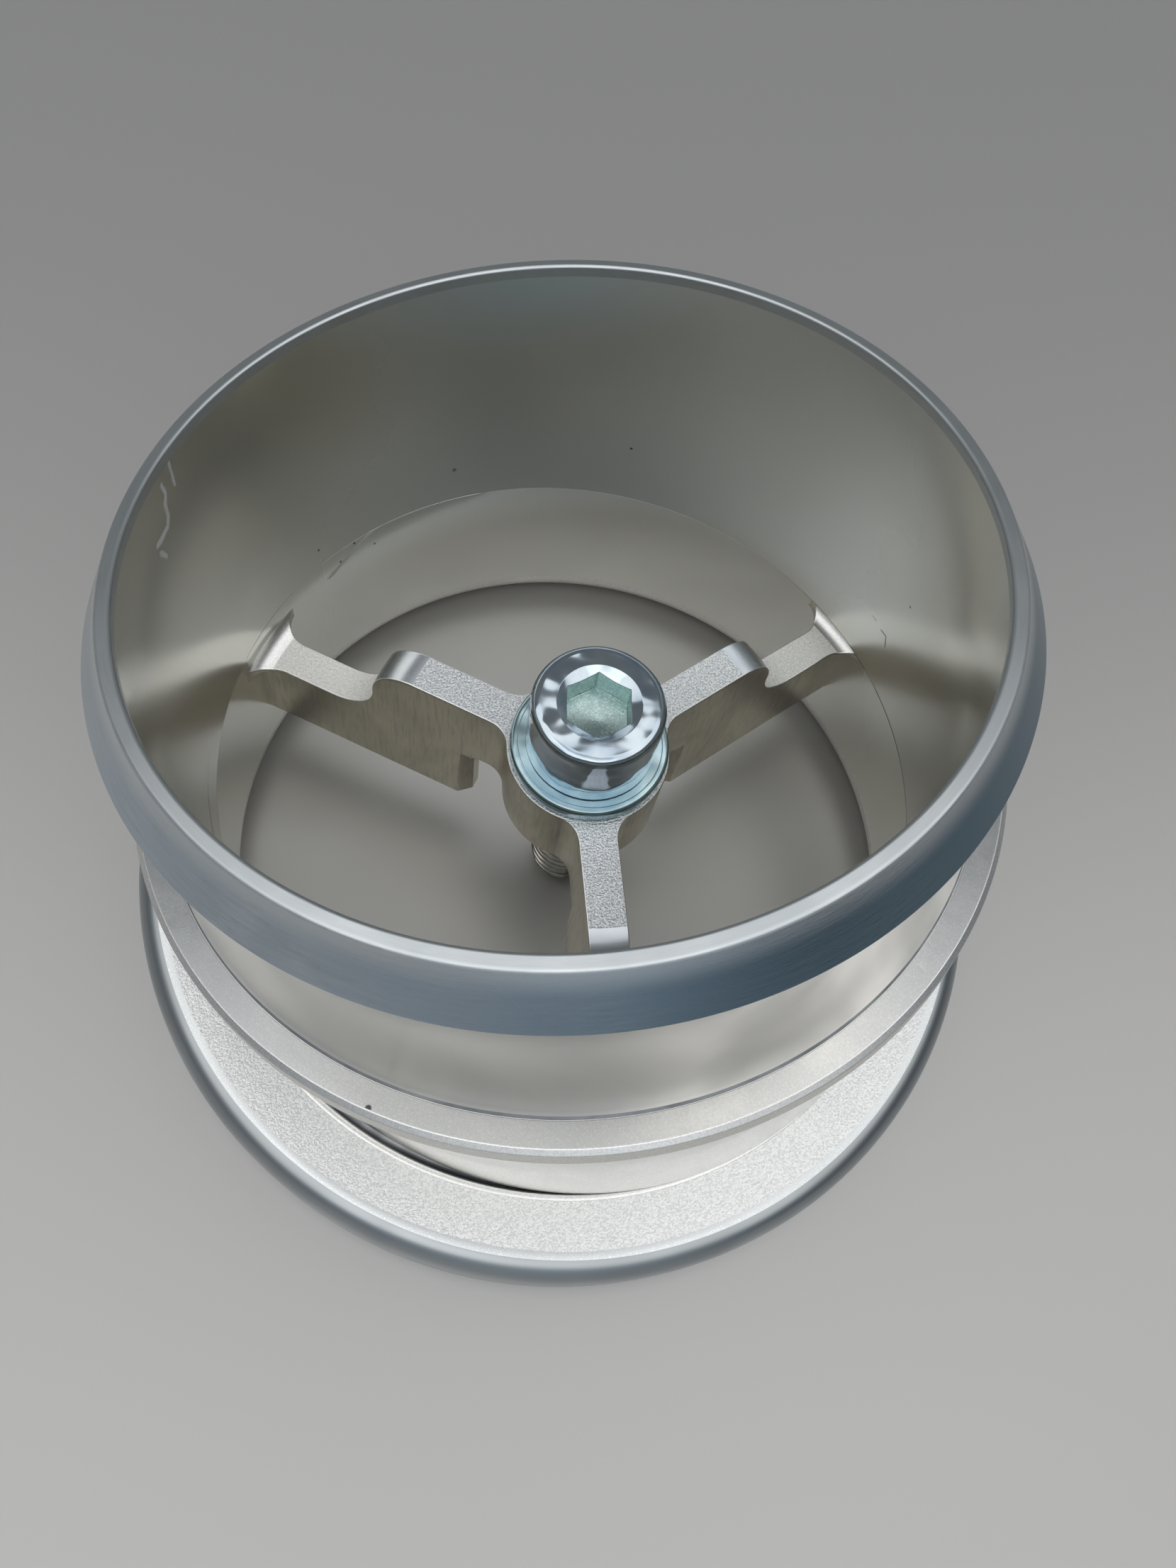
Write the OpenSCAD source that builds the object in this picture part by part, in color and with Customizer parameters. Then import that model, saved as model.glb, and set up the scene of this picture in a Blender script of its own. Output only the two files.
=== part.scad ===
// Short machined duct elbow. A round flanged foot stands flat. A hose spigot
// with a collar and a beaded lip leans from it by a few degrees. Inside, three
// stepped arms carry a hub with a washer and a hexagon-socket screw, which
// holds an inner piece in the middle of the duct.
//
// Origin: centre of the flange's underside. +Z is the foot's axis. Headings
// are counted from +X towards +Y. The spigot's axis and the foot's axis meet
// at the knee. Sizes are millimetres.

/* [Bend] */
// Angle between the foot's axis and the spigot's axis
bend_angle = 10; // [7:0.5:11]
// Heading that the spigot leans towards
bend_heading = 135; // [0:5:355]
// Height of the knee, where the two axes meet
knee_h = 14.6; // [14:0.2:16]

/* [Foot] */
// Outside diameter of the flange
flange_d = 98.4; // [94:0.2:110]
// Thickness of the flange
flange_t = 7.0; // [6:0.1:8]
// Rounding of the flange's upper rim
flange_round = 3.0; // [0.5:0.1:4]
// Bevel of the flange's lower rim
flange_bevel = 0.3; // [0.2:0.1:1]
// Bore of the foot
foot_bore_d = 76.0; // [75:0.1:76.4]
// Height at which the foot's bore ends and the spigot's bore takes over
foot_bore_h = 23.5; // [22:0.5:24]
// Radius that opens the foot's bore towards its underside
mouth_round = 5.0; // [2:0.5:5]
// Width of the relief groove cut round the neck's foot
relief_w = 1.0; // [0.6:0.1:1.6]

/* [Neck] */
// Outside diameter of the neck between flange and collar
neck_d = 78.8; // [78.4:0.1:79.6]
// Height at which the neck starts to round in under the collar
neck_shoulder_h = 24.0; // [22:0.5:25]
// How far the leaning tube's wall stands back from the neck's
tube_inset = 0.2; // [0.1:0.05:0.4]

/* [Spigot] */
// Bore of the spigot
spigot_bore_d = 72.4; // [71:0.1:73]
// Outside diameter of the collar that a hose is pushed up to
collar_d = 86.0; // [84:0.2:92]
// Top of the collar above the knee, along the spigot's axis
collar_h = 18.0; // [17.5:0.1:19]
// Thickness of the collar
collar_t = 2.7; // [2.2:0.1:3.2]
// Bevel of the collar's upper edge
collar_bevel = 0.4; // [0.2:0.1:0.8]
// Diameter where the hollow behind the bead meets the collar
collar_root_d = 80.2; // [79:0.2:82]
// Diameter of the bead's widest edge
bead_d = 80.5; // [79.6:0.1:82]
// Length of the spigot from the collar's top to the top of the lip
hose_len = 25.2; // [22:0.2:60]
// Length of the bead's cone, from its widest edge to the top of the lip
bead_len = 5.0; // [4:0.1:6]
// Smallest diameter of the hollow between collar and bead
waist_d = 75.6; // [75.2:0.1:76.6]
// Radius of the rounded lip
lip_round = 0.6; // [0.5:0.05:0.8]

/* [Spider] */
// Heading of the first arm
arm_heading = 35.6; // [0:0.1:119.5]
// Number of arms
arm_count = 3; // [3:1:4]
// Width of an arm
arm_w = 3.9; // [3:0.1:5]
// Underside of the arms above the foot's underside
arm_floor_h = 9.5; // [7:0.1:11]
// Height of the low outer part of an arm
arm_step_h = 20.0; // [17:0.1:21]
// Distance from the axis to the end of an arm's high part
arm_step_r = 23.8; // [18:0.1:26]
// Rounding at the top end of an arm's high part
arm_nose_r = 4.8; // [1:0.1:5]
// Fillet at the foot of the step
step_fillet_r = 5.2; // [0.5:0.1:5.4]
// Fillet, seen from above, where an arm meets the bore
wall_fillet_r = 3.0; // [1:0.1:4]
// Fillet, seen from the side, where an arm's low part meets the bore
nose_fillet_r = 2.0; // [0.5:0.1:2.2]
// Diameter of the hub
hub_d = 16.6; // [16.2:0.1:20]
// Top of the hub above the foot's underside
hub_top_h = 30.2; // [29:0.1:31]
// Underside of the hub, which is the roof of the turned recess below it
hub_floor_h = 20.3; // [19.5:0.1:22]
// Fillet, seen from above, where an arm meets the hub
hub_fillet_r = 3.0; // [1:0.1:4]
// Diameter of the turned recess below the hub
recess_d = 24.4; // [22:0.2:30]
// Fillet in the upper corner of the recess
recess_fillet_r = 1.0; // [0.4:0.1:1.5]
// Length, along an arm, of the two bevels at the inner end of its leg
leg_bevel = 1.5; // [0.5:0.1:2]
// Width of the flat that the two bevels leave
leg_tip_w = 1.4; // [0.8:0.1:2.4]

/* [Fastener] */
// Thread diameter of the screw
thread_d = 8.0;
// Length of the screw under its head
screw_len = 30.0; // [20:5:30]
// Bevel at the screw's tip
tip_bevel = 1.0; // [0.5:0.1:1.2]
// Diameter of the screw's head
head_d = 13.0;
// Height of the screw's head
head_h = 8.0;
// Rounding of the head's top edge
head_round = 0.9; // [0.4:0.1:1.2]
// Width across flats of the hexagon socket
socket_af = 6.1; // [6:0.05:6.2]
// Depth of the hexagon socket
socket_depth = 4.0; // [3.5:0.1:4.4]
// Diameter of the bevel round the socket's mouth
socket_bevel_d = 8.2; // [7.8:0.1:9]
// Outside diameter of the washer
washer_d = 16.0;
// Bore of the washer
washer_bore_d = 8.4; // [8.2:0.1:8.8]
// Thickness of the washer
washer_t = 1.6;
// Bevel of the washer's edges
washer_bevel = 0.3; // [0.1:0.1:0.4]

/* [Fits] */
// Radial gap between the screw's thread and the hub's tapped hole
thread_gap = 0.02; // [0.01:0.01:0.1]
// Depth to which an arm runs into the wall of the bore
arm_bite = 0.6; // [0.5:0.1:0.7]
// Depth to which a fillet runs into the wall that it blends with
fillet_bite = 0.04; // [0.02:0.01:0.08]

/* [Hidden] */
$fn = 96;
past = 1;
flange_r = flange_d / 2;
foot_bore_r = foot_bore_d / 2;
neck_r = neck_d / 2;
tube_r = neck_r - tube_inset;
spigot_bore_r = spigot_bore_d / 2;
collar_r = collar_d / 2;
collar_floor = collar_h - collar_t;
collar_root_r = collar_root_d / 2;
bead_r = bead_d / 2;
waist_r = waist_d / 2;
lip_h = collar_h + hose_len;
bead_h = lip_h - bead_len;
hub_r = hub_d / 2;
recess_r = recess_d / 2;
thread_r = thread_d / 2;
tapped_r = thread_r + thread_gap;
washer_top = hub_top_h + washer_t;
head_top = washer_top + head_h;
tip_h = washer_top - screw_len;
socket_r = socket_af / 2 / cos(30);
arm_reach = foot_bore_r + arm_bite;
// the mouth's arc is lifted a little, so that it meets the underside at an edge
mouth_lift = mouth_round / 50;
// an arc through the collar's root and the bead's edge that reaches the waist
hollow_half = (bead_h - collar_h) / 2;
hollow_dip = (collar_root_r + bead_r) / 2 - waist_r;
hollow_r = (hollow_half * hollow_half + hollow_dip * hollow_dip) / (2 * hollow_dip);
lip_mid_r = spigot_bore_r + lip_round;
half_space = flange_d;

// turns its children from the foot's frame into the spigot's frame
module on_spigot() {
    translate([0, 0, knee_h]) rotate([0, 0, bend_heading]) rotate([0, bend_angle, 0])
        children();
}

// the quarter left between two square edges and a circle, in the first quadrant
module corner(r) {
    difference() {
        translate([-r / 4, -r / 4]) square([r * 5 / 4, r * 5 / 4]);
        translate([r, r]) circle(r);
    }
}

// flange with a rounded upper rim and a relief groove at the neck's foot
module flange_profile() {
    difference() {
        union() {
            polygon([[0, 0], [flange_r - flange_bevel, 0], [flange_r, flange_bevel],
                [flange_r, flange_t - flange_round], [0, flange_t - flange_round]]);
            square([flange_r - flange_round, flange_t]);
            translate([flange_r - flange_round, flange_t - flange_round]) circle(flange_round);
        }
        translate([neck_r + relief_w / 2 - fillet_bite, flange_t]) circle(relief_w / 2);
    }
}

// straight neck that rounds in like a ball above its shoulder
module neck_profile() {
    translate([0, flange_t / 2]) square([neck_r, neck_shoulder_h - flange_t / 2]);
    intersection() {
        translate([0, neck_shoulder_h]) circle(neck_r);
        translate([0, neck_shoulder_h - past]) square([half_space, half_space]);
    }
}

// spigot's outline: tube, collar, long hollow, conical bead and rounded lip
module spigot_profile() {
    square([tube_r, collar_h - collar_bevel]);
    polygon([[0, collar_floor], [collar_r, collar_floor], [collar_r, collar_h - collar_bevel],
        [collar_r - collar_bevel, collar_h], [0, collar_h]]);
    difference() {
        polygon([[0, collar_h - collar_t / 2], [collar_root_r, collar_h - collar_t / 2],
            [collar_root_r, collar_h], [bead_r, bead_h],
            [lip_mid_r + lip_round * 0.85, lip_h - lip_round * 1.2],
            [lip_mid_r, lip_h - lip_round], [0, lip_h - lip_round]]);
        translate([waist_r + hollow_r, collar_h + hollow_half]) circle(hollow_r, $fn = 360);
    }
    translate([lip_mid_r, lip_h - lip_round]) circle(lip_round);
}

// everything outside the bores
module shell() {
    rotate_extrude($fn = 180) flange_profile();
    intersection() {
        rotate_extrude($fn = 180) neck_profile();
        on_spigot() translate([0, 0, -half_space])
            cylinder(h = half_space + collar_floor + collar_t / 2, r = half_space);
    }
    on_spigot() rotate_extrude($fn = 180) spigot_profile();
}

// foot's bore with its rounded mouth
module foot_bore() {
    rotate_extrude($fn = 180) {
        translate([0, -past]) square([foot_bore_r, foot_bore_h + past]);
        difference() {
            translate([0, -past])
                square([foot_bore_r + mouth_round, mouth_round - mouth_lift + past]);
            translate([foot_bore_r + mouth_round, mouth_round - mouth_lift])
                circle(mouth_round);
        }
    }
}

module spigot_bore() {
    on_spigot() cylinder(h = lip_h + past, r = spigot_bore_r, $fn = 180);
}

// fillets seen from above between an arm's two sides and the hub
module hub_fillets() {
    reach = hub_r + hub_fillet_r - fillet_bite;
    out = arm_w / 2 + hub_fillet_r;
    along = sqrt(reach * reach - out * out);
    for (side = [1, -1]) difference() {
        polygon([[0, 0], [along, 0], [along, side * out]]);
        translate([along, side * out]) circle(hub_fillet_r);
    }
}

// fillets seen from above between an arm's two sides and the bore
module wall_fillets() {
    reach = foot_bore_r + fillet_bite - wall_fillet_r;
    out = arm_w / 2 + wall_fillet_r;
    along = sqrt(reach * reach - out * out);
    for (side = [1, -1]) difference() {
        polygon([[along, 0], [along, side * out],
            [along * arm_reach / reach, side * out * arm_reach / reach], [arm_reach, 0]]);
        translate([along, side * out]) circle(wall_fillet_r);
    }
}

// plan of the spider: hub, arms and the fillets at both of their ends
module spider_plan() {
    circle(hub_r);
    for (i = [0 : arm_count - 1]) rotate(arm_heading + i * 360 / arm_count) {
        translate([0, -arm_w / 2]) square([arm_reach, arm_w]);
        hub_fillets();
        wall_fillets();
    }
}

// what is turned off above the arms: it leaves the nose, the step and two fillets
module step_clearance() {
    clear_r = foot_bore_r + fillet_bite;
    nose_mid_r = arm_step_r - arm_nose_r;
    nose_mid_h = hub_top_h - arm_nose_r + arm_nose_r / 100;
    rotate_extrude($fn = 180) difference() {
        translate([nose_mid_r, arm_step_h])
            square([arm_reach + past - nose_mid_r, hub_top_h - arm_step_h + past]);
        translate([nose_mid_r - past, arm_step_h - past])
            square([arm_nose_r + past, nose_mid_h - arm_step_h + past]);
        translate([clear_r, arm_step_h - past])
            square([arm_bite + 2 * past, nose_fillet_r + past]);
        translate([nose_mid_r, nose_mid_h]) circle(arm_nose_r);
        translate([arm_step_r, arm_step_h]) corner(step_fillet_r);
        translate([clear_r, arm_step_h]) mirror([1, 0]) corner(nose_fillet_r);
    }
}

// turned recess under the hub, with a small fillet in its upper corner
module recess() {
    rotate_extrude() {
        translate([0, arm_floor_h - past])
            square([recess_r, hub_floor_h - recess_fillet_r - arm_floor_h + past]);
        translate([0, arm_floor_h - past])
            square([recess_r - recess_fillet_r, hub_floor_h - arm_floor_h + past]);
        translate([recess_r - recess_fillet_r, hub_floor_h - recess_fillet_r])
            circle(recess_fillet_r);
    }
}

// bevels the two upright edges at the inner end of an arm's leg
module leg_bevels() {
    slant = (arm_w - leg_tip_w) / 2;
    near = recess_r - leg_bevel * 0.3;
    roof = hub_floor_h - recess_fillet_r / 2;
    translate([0, 0, arm_floor_h - past]) linear_extrude(roof - arm_floor_h + past)
        for (side = [1, -1])
            polygon([[near, side * (leg_tip_w / 2 - slant * 0.3)],
                [recess_r + leg_bevel * 1.3, side * (arm_w / 2 + slant * 0.3)],
                [near, side * (arm_w / 2 + slant * 0.3)]]);
}

module spider() {
    difference() {
        translate([0, 0, arm_floor_h]) linear_extrude(hub_top_h - arm_floor_h) spider_plan();
        step_clearance();
        recess();
        for (i = [0 : arm_count - 1])
            rotate([0, 0, arm_heading + i * 360 / arm_count]) leg_bevels();
    }
}

module body() {
    color([0.79, 0.80, 0.79]) difference() {
        union() {
            difference() {
                shell();
                foot_bore();
                spigot_bore();
            }
            spider();
        }
        translate([0, 0, hub_floor_h - past])
            cylinder(h = hub_top_h - hub_floor_h + 2 * past, r = tapped_r);
    }
}

module washer() {
    r = washer_d / 2;
    bore_r = washer_bore_d / 2;
    color([0.67, 0.74, 0.77]) translate([0, 0, hub_top_h]) rotate_extrude()
        polygon([[bore_r, 0], [r - washer_bevel, 0], [r, washer_bevel],
            [r, washer_t - washer_bevel], [r - washer_bevel, washer_t], [bore_r, washer_t]]);
}

module screw() {
    color([0.72, 0.77, 0.80]) difference() {
        rotate_extrude() {
            polygon([[0, tip_h], [thread_r - tip_bevel, tip_h], [thread_r, tip_h + tip_bevel],
                [thread_r, washer_top], [head_d / 2, washer_top],
                [head_d / 2, head_top - head_round], [0, head_top - head_round]]);
            translate([0, washer_top]) square([head_d / 2 - head_round, head_h]);
            translate([head_d / 2 - head_round, head_top - head_round]) circle(head_round);
        }
        translate([0, 0, head_top - socket_depth])
            cylinder(h = socket_depth + past, r = socket_r, $fn = 6);
        translate([0, 0, head_top - (socket_bevel_d / 2 - socket_af / 2) / 2])
            cylinder(h = (socket_bevel_d / 2 - socket_af / 2) / 2 + 0.01,
                r1 = socket_af / 2, r2 = socket_bevel_d / 2);
    }
}

body();
washer();
screw();
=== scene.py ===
# %% [markdown]
# # A short machined duct elbow, dressed in Blender
#
# The object is a stub of duct turned from aluminium. A flat flanged foot stands
# on the table, and a hose spigot with a collar and a beaded lip leans from it
# by ten degrees. Three stepped arms inside the bore carry a hub, a washer and
# a socket screw. This lesson builds each surface as a formula worked out with
# numpy, and gives each one the finish that its tool would leave: turned,
# brushed, bead-blasted, milled or zinc plated.

# %% Load the packed model, which is the fixed frame
import math

import bpy
import numpy as np
from mathutils import Matrix, Vector


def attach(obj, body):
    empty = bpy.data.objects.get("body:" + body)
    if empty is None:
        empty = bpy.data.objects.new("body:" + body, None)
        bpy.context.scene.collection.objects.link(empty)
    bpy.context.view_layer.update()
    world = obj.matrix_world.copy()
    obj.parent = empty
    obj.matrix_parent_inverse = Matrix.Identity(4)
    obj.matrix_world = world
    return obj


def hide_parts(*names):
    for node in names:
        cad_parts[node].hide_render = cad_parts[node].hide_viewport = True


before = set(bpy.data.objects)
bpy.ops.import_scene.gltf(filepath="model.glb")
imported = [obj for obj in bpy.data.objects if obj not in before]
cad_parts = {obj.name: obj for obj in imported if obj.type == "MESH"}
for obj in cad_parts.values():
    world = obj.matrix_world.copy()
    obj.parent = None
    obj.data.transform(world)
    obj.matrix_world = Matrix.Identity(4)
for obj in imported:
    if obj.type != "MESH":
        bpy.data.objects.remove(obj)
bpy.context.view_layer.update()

# %% [markdown]
# ## Two frames that share a knee
#
# The foot is turned about the upright axis, and the spigot about an axis that
# leans from it. Both pass through one point, the knee. Every ring of the body
# is round in one of these two frames, so the helpers below turn a radius and a
# height in either frame into points. Lengths are millimetres until the mesh is
# made, because a drawing of such a part is in millimetres.

# %% Sizes of the turned body, in millimetres
MM = 0.001
LEAN = math.radians(10.0)
HEADING = math.radians(135.0)
KNEE = np.array([0.0, 0.0, 14.6])
AXIS = np.array([math.sin(LEAN) * math.cos(HEADING), math.sin(LEAN) * math.sin(HEADING), math.cos(LEAN)])
SIDE_U = np.array([math.cos(LEAN) * math.cos(HEADING), math.cos(LEAN) * math.sin(HEADING), -math.sin(LEAN)])
SIDE_V = np.cross(AXIS, SIDE_U)

FLANGE_R, FLANGE_T, FLANGE_ROUND = 49.2, 7.0, 3.0
FOOT_BORE_R, FOOT_BORE_TOP = 38.0, 23.5
NECK_R, NECK_SHOULDER, TUBE_R = 39.4, 24.0, 39.2
SPIGOT_BORE_R = 36.2
COLLAR_R, COLLAR_TOP, COLLAR_T = 43.0, 18.0, 2.7
ROOT_R, BEAD_R, BEAD_H, WAIST_R = 40.1, 40.25, 38.2, 37.8
LIP_TOP = 43.2
HUB_TOP = 30.2
print("spigot's axis:", AXIS.round(3), "lip above the knee:", LIP_TOP, "mm")

# %% Points of a ring in either frame
def foot_points(radius, height, angle):
    """A point of the foot: radius times the cosine and sine of the angle, and the height."""
    radius, height, angle = np.broadcast_arrays(radius, height, angle)
    return np.stack([radius * np.cos(angle), radius * np.sin(angle), height], -1)


def spigot_points(radius, height, angle):
    """The knee, plus height along the leaning axis, plus radius across it towards the angle."""
    radius, height, angle = (a[..., None] for a in np.broadcast_arrays(radius, height, angle - HEADING))
    return KNEE + height * AXIS + radius * (np.cos(angle) * SIDE_U + np.sin(angle) * SIDE_V)


def leaning_radius(tube, height, angle):
    """Distance from the upright axis to a leaning tube of radius tube, at a height and heading.

    The point r * d + z * up lies on the tube if its part across the axis has length tube,
    which is a quadratic in r."""
    d = np.stack([np.cos(angle), np.sin(angle), np.zeros_like(angle)], -1)
    rise = np.zeros(np.broadcast(height, angle).shape + (3,))
    rise[..., 2] = height - KNEE[2]
    d_off = d - (d @ AXIS)[..., None] * AXIS
    rise_off = rise - (rise @ AXIS)[..., None] * AXIS
    a = (d_off**2).sum(-1)
    b = (d_off * rise_off).sum(-1)
    c = (rise_off**2).sum(-1) - tube**2
    return (-b + np.sqrt(b * b - a * c)) / a


print("leaning bore at the foot bore's top:", leaning_radius(SPIGOT_BORE_R, FOOT_BORE_TOP, np.radians([135.0, 315.0])).round(2))

# %% [markdown]
# ## From rings to a mesh
#
# A surface here is a grid: rows along a profile, columns round the part. One
# helper turns such a grid into a closed mesh. It joins the last column to the
# first, and either joins the last row to the first or closes both ends with a
# pole. Each row, or each cell of the grid, carries the number of its finish.

# %% Grid to mesh
def grid_mesh(name, points, finish_of_face, finishes, loop_rows=True):
    """Quads between neighbouring rows and columns of points, with both ends joined or closed by a pole."""
    rows, cols = points.shape[:2]
    here = np.arange(rows * cols).reshape(rows, cols)
    last = rows if loop_rows else rows - 1
    a = here[:last]
    b = np.roll(here, -1, axis=1)[:last]
    c = np.roll(np.roll(here, -1, axis=1), -1, axis=0)[:last]
    d = np.roll(here, -1, axis=0)[:last]
    quads = np.stack([a, b, c, d], -1).reshape(-1, 4)
    slot_of = np.broadcast_to(np.asarray(finish_of_face).reshape(rows, -1), (rows, cols))[:last].ravel()
    verts = points.reshape(-1, 3)
    faces = quads.tolist()
    if not loop_rows:
        first, end = points[0].mean(0), points[-1].mean(0)
        verts = np.vstack([verts, first, end])
        n = rows * cols
        start_fan = np.stack([here[0], np.full(cols, n), np.roll(here[0], -1)], -1)
        end_fan = np.stack([here[-1], np.roll(here[-1], -1), np.full(cols, n + 1)], -1)
        faces += start_fan.tolist() + end_fan.tolist()
        slot_of = np.concatenate([slot_of, np.full(cols, slot_of[0]), np.full(cols, slot_of[-1])])
    mesh = bpy.data.meshes.new(name)
    mesh.from_pydata((verts * MM).tolist(), [], faces)
    mesh.polygons.foreach_set("material_index", slot_of.astype(np.int32))
    mesh.polygons.foreach_set("use_smooth", np.ones(len(faces), bool))
    for finish in finishes:
        mesh.materials.append(finish)
    face_outwards(mesh)
    mesh.update()
    return mesh


def face_outwards(mesh):
    """Flips every face if the mesh's signed volume, the sum of its corner determinants, is negative."""
    mesh.calc_loop_triangles()
    tris = np.empty(len(mesh.loop_triangles) * 3, np.int32)
    mesh.loop_triangles.foreach_get("vertices", tris)
    co = np.empty(len(mesh.vertices) * 3)
    mesh.vertices.foreach_get("co", co)
    p = co.reshape(-1, 3)[tris.reshape(-1, 3)]
    if np.einsum("ij,ij->i", p[:, 0], np.cross(p[:, 1], p[:, 2])).sum() < 0:
        mesh.flip_normals()


def show(name, mesh, slot, *nodes):
    """Puts a mesh into the scene, rides it on the one body and hides the CAD nodes it stands in for."""
    piece = bpy.data.objects.new(name, mesh)
    bpy.context.scene.collection.objects.link(piece)
    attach(piece, "root")
    if nodes:
        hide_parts(*nodes)
    print(f"{name}: {len(mesh.vertices)} points, {len(mesh.polygons)} faces")
    return piece


# %% [markdown]
# ## Profiles with worn edges
#
# No machined edge is perfectly sharp. A sharp edge in a render gives itself
# away, because it catches no light. A profile is therefore given by its
# corners and a small radius for each, and this helper replaces each corner by
# an arc. It also places extra points close to the arcs, so that flat faces
# stay flat when the mesh is shaded smooth.

# %% Corners to a rounded path
def rounded_path(corners, radii, arc_steps=4, guard=0.06, longest=2.5):
    """Points along straight lines whose corners are arcs.

    Each arc touches both of its lines at distance radius * tan(half the turn), and its
    points step evenly through the turn."""
    corners = np.asarray(corners, float)
    pieces = [corners[:1]]
    for i in range(1, len(corners) - 1):
        a, b, c = corners[i - 1], corners[i], corners[i + 1]
        into, out = (b - a) / np.linalg.norm(b - a), (c - b) / np.linalg.norm(c - b)
        turn = math.atan2(into[0] * out[1] - into[1] * out[0], into @ out)
        reach = radii[i] * math.tan(abs(turn) / 2)
        left = np.array([-into[1], into[0]]) * math.copysign(1, turn)
        centre = b - into * reach + left * radii[i]
        t = np.linspace(0, turn, arc_steps + 1)[:, None]
        arm = -left * radii[i]
        arc = centre + np.cos(t) * arm + np.sin(t) * np.array([-arm[1], arm[0]])
        pieces.append(arc if radii[i] > 0 else b[None])
    pieces.append(corners[-1:])
    return fill_lines(pieces, guard, longest)


def fill_lines(pieces, guard, longest):
    """Joins arcs by straight runs, with a point close to each end and no step over the longest."""
    path = [pieces[0]]
    for before, after in zip(pieces, pieces[1:]):
        a, b = before[-1], after[0]
        length = np.linalg.norm(b - a)
        if length > 2.5 * guard:
            inner = np.linspace(guard, length - guard, max(2, int(length / longest) + 1))
            path.append(a + (b - a) * (inner / length)[:, None])
        path.append(after)
    return np.vstack(path)


print("one rounded corner takes", len(rounded_path([(0, 0), (2, 0), (2, 2)], [0, 0.5, 0])), "points")

# %% [markdown]
# ## Finishes
#
# The whole body is one metal, and yet no two faces of it look alike, because
# each was finished by another tool. A lathe leaves rings, a milling cutter
# leaves fine steps, a brush leaves long hairs, and blasting with beads leaves
# tiny dents that sparkle. Each finish below is a metal whose bump, colour and
# roughness come from noise that is stretched the way its tool moved. All of
# them read Object coordinates, so that the pattern stays on the part.

# %% Small builders for node materials
SPIGOT_TURN = Matrix([list(r) for r in np.stack([SIDE_U, SIDE_V, AXIS], 1)]).to_euler()


def node(tree, kind, *inputs, **settings):
    """A node of a kind, with its settings. Numbers are set on its inputs and outputs are linked to them."""
    made = tree.nodes.new("ShaderNode" + kind)
    for key, value in settings.items():
        setattr(made, key, value)
    for socket, value in zip(made.inputs, inputs):
        if isinstance(value, bpy.types.NodeSocket):
            tree.links.new(value, socket)
        elif value is not None:
            socket.default_value = value
    return made.outputs[0]


def maths(tree, operation, *inputs):
    """One Math node."""
    return node(tree, "Math", *inputs, operation=operation)


def vectors(tree, operation, *inputs):
    """One Vector Math node. Length, distance and dot product come from its second output."""
    made = node(tree, "VectorMath", *inputs, operation=operation).node
    return made.outputs["Value" if operation in ("LENGTH", "DISTANCE", "DOT_PRODUCT") else "Vector"]


print("turn of the spigot's frame, in degrees:", [round(math.degrees(angle), 2) for angle in SPIGOT_TURN])


# %% Ramps, blends, positions and noise
def spread(tree, value, low, high, out_low=0.0, out_high=1.0):
    """Maps a value from one span to another by 3 t^2 - 2 t^3, which has no corner at either end."""
    return node(tree, "MapRange", value, low, high, out_low, out_high, interpolation_type="SMOOTHSTEP")


def blend(tree, share, first, second):
    """A colour between two others: first * (1 - share) + second * share."""
    made = tree.nodes.new("ShaderNodeMix")
    made.data_type = "RGBA"
    for place, value in ((0, share), (6, first), (7, second)):
        if isinstance(value, bpy.types.NodeSocket):
            tree.links.new(value, made.inputs[place])
        else:
            made.inputs[place].default_value = value if place == 0 else (*value, 1.0)
    return made.outputs[2]


def own_position(tree, leaning=False):
    """The point on the object, in the foot's frame or in the spigot's."""
    coords = tree.nodes.new("ShaderNodeTexCoord").outputs["Object"]
    if not leaning:
        return coords
    return node(tree, "Mapping", coords, tuple(KNEE * MM), tuple(SPIGOT_TURN), vector_type="TEXTURE")


def noise(tree, vector, scale, detail=2.0, rough=0.5, distortion=0.0):
    """Noise of a scale in features per metre."""
    made = tree.nodes.new("ShaderNodeTexNoise")
    tree.links.new(vector, made.inputs["Vector"])
    for key, value in (("Scale", scale), ("Detail", detail), ("Roughness", rough), ("Distortion", distortion)):
        made.inputs[key].default_value = value
    return made.outputs["Fac"]


def stretched(tree, position, scales):
    """The position with each axis scaled by its own factor, so that noise on it is drawn out."""
    return vectors(tree, "MULTIPLY", position, scales)


def ring_position(tree, position, across, around, upward=0.83):
    """Radius, height and heading of a point, scaled so that noise on it runs in rings.

    The heading enters by its sine and cosine, so that the rings have no seam."""
    split = node(tree, "SeparateXYZ", position).node
    x, y, z = split.outputs
    radius = maths(tree, "SQRT", maths(tree, "ADD", maths(tree, "MULTIPLY", x, x), maths(tree, "MULTIPLY", y, y)))
    safe = maths(tree, "MAXIMUM", radius, 1e-5)
    along = maths(tree, "ADD", maths(tree, "MULTIPLY", radius, across), maths(tree, "MULTIPLY", z, across * upward))
    return node(tree, "CombineXYZ", along, maths(tree, "MULTIPLY", maths(tree, "DIVIDE", y, safe), around),
                maths(tree, "MULTIPLY", maths(tree, "DIVIDE", x, safe), around))


# %% [markdown]
# A finish is built up in layers, as wear is: first the metal, then what the
# tool left, then clouds of handling, then single marks. The class below keeps
# the sockets that the layers have reached so far, so that each call adds one
# layer on top. Node groups could do the same, but here a finish reads as a
# short list of what happened to the face.

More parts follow.
